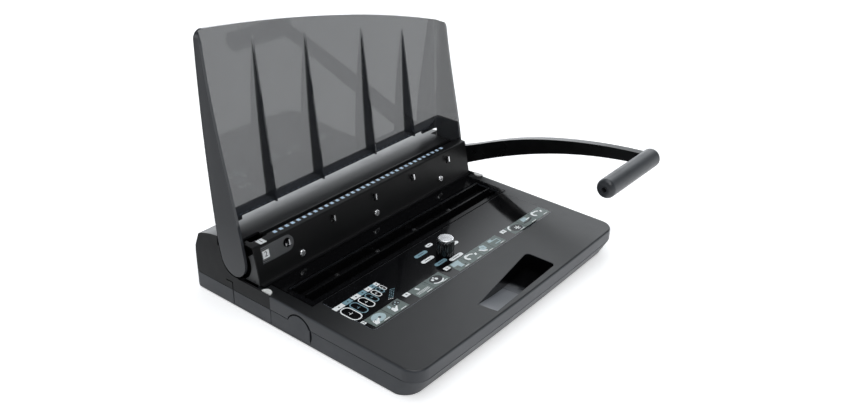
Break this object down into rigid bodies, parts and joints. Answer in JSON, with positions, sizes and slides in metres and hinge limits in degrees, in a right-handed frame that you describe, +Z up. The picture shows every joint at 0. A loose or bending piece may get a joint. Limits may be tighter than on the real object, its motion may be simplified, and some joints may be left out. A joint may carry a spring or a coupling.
{
  "type": "wire binding machine",
  "caption": "Desktop wire binding machine with a hinged smoked cover, a side lever that drives the punch and the wire closer, a size knob and a slide-out chip tray.",
  "frame": {"origin": "on the table under the middle of the overall box, lever included", "axes": "+X to the right along the punch, +Y to the back, +Z up"},
  "size_m": [0.3996, 0.3407, 0.2945],
  "materials": {
    "casing_plastic": "fine moulded texture",
    "housing_gloss": "polished",
    "panel_gloss": "polished",
    "plate_black": "black powder coat",
    "tool_steel": "ground steel",
    "jaw_steel": "blackened steel",
    "bright_steel": "zinc plated",
    "bush_plastic": "moulded",
    "cap_plastic": "fine moulded texture",
    "smoke": "smoked, see-through",
    "lever_paint": "black satin",
    "grip_plastic": "satin",
    "knob_black": "satin",
    "knob_silver": "satin",
    "pad_white": "soft",
    "mark_blue": "printed",
    "label_white": "printed",
    "patch_grey": "printed",
    "foot_rubber": "matt"
  },
  "bodies": {
    "root": {"lower_shell": "casing_plastic", "deck_shell": "casing_plastic", "rear_housing": "housing_gloss", "closer_plate": "panel_gloss", "instruction_panel": "panel_gloss", "front_plate": "plate_black", "guide_plate": "plate_black", "end_plate_left": "plate_black", "end_plate_right": "plate_black", "closer_bed": "plate_black", "die_plate": "tool_steel", "rear_guide": "tool_steel", "paper_stop": "tool_steel", "plate_beam": "tool_steel", "fixed_jaw": "jaw_steel", "plate_screws": "bright_steel", "wire_hooks": "bright_steel", "jaw_screws": "bright_steel", "base_screws": "bright_steel", "shaft_bushes": "bush_plastic", "bar_cap_left": "cap_plastic", "bar_cap_right": "cap_plastic", "cover_bumpers": "pad_white", "hole_marks": "mark_blue", "step_labels": "label_white", "hatch_patch": "patch_grey", "rubber_feet": "foot_rubber"},
    "cover": {"cover": "smoke", "hinge_pins": "bright_steel"},
    "lever": {"drive_shaft": "bright_steel", "punch_rockers": "bright_steel", "closer_cranks": "bright_steel", "roll_pins": "bright_steel", "lever_arm": "lever_paint", "lever_screw": "bright_steel", "grip_core": "bright_steel", "lever_grip": "grip_plastic"},
    "punch": {"pressure_bar": "tool_steel", "punch_pins": "tool_steel"},
    "closer": {"moving_jaw": "jaw_steel", "closer_links": "jaw_steel"},
    "selector": {"knob_body": "knob_black", "knob_cap": "knob_silver", "selector_shaft": "bright_steel", "selector_cam": "bush_plastic"},
    "stop": {"stop_slide": "bright_steel"},
    "tray": {"chip_tray": "casing_plastic"}
  },
  "joints": [
    {"name": "cover_hinge", "type": "hinge", "parent": "root", "child": "cover", "pos_m": [-0.01625, 0.1025, 0.0555], "axis": [1, 0, 0], "range_deg": [0, 98]},
    {"name": "lever_swing", "type": "hinge", "parent": "root", "child": "lever", "pos_m": [-0.01625, 0.1225, 0.0365], "axis": [1, 0, 0], "range_deg": [-45, 18]},
    {"name": "punch_slide", "type": "slide", "parent": "root", "child": "punch", "axis": [0, -1, 0], "range_m": [-0.01415, 0.00566]},
    {"name": "closer_slide", "type": "slide", "parent": "root", "child": "closer", "axis": [0, 1, 0], "range_m": [-0.00865, 0.00347]},
    {"name": "selector_turn", "type": "hinge", "parent": "root", "child": "selector", "pos_m": [-0.01625, -0.0305, 0.0335], "axis": [0, 0, 1], "range_deg": [-150, 150]},
    {"name": "stop_travel", "type": "slide", "parent": "root", "child": "stop", "axis": [0, 1, 0], "range_m": [-0.00401, 0.00401]},
    {"name": "tray_slide", "type": "slide", "parent": "root", "child": "tray", "axis": [-1, 0, 0], "range_m": [0, 0.3]}
  ],
  "couplings": [
    {"joint": "punch_slide", "follows": "lever_swing", "m_per_rad": 0.018},
    {"joint": "closer_slide", "follows": "lever_swing", "m_per_rad": 0.011},
    {"joint": "stop_travel", "follows": "selector_turn", "m_per_rad": 0.0015279}
  ]
}
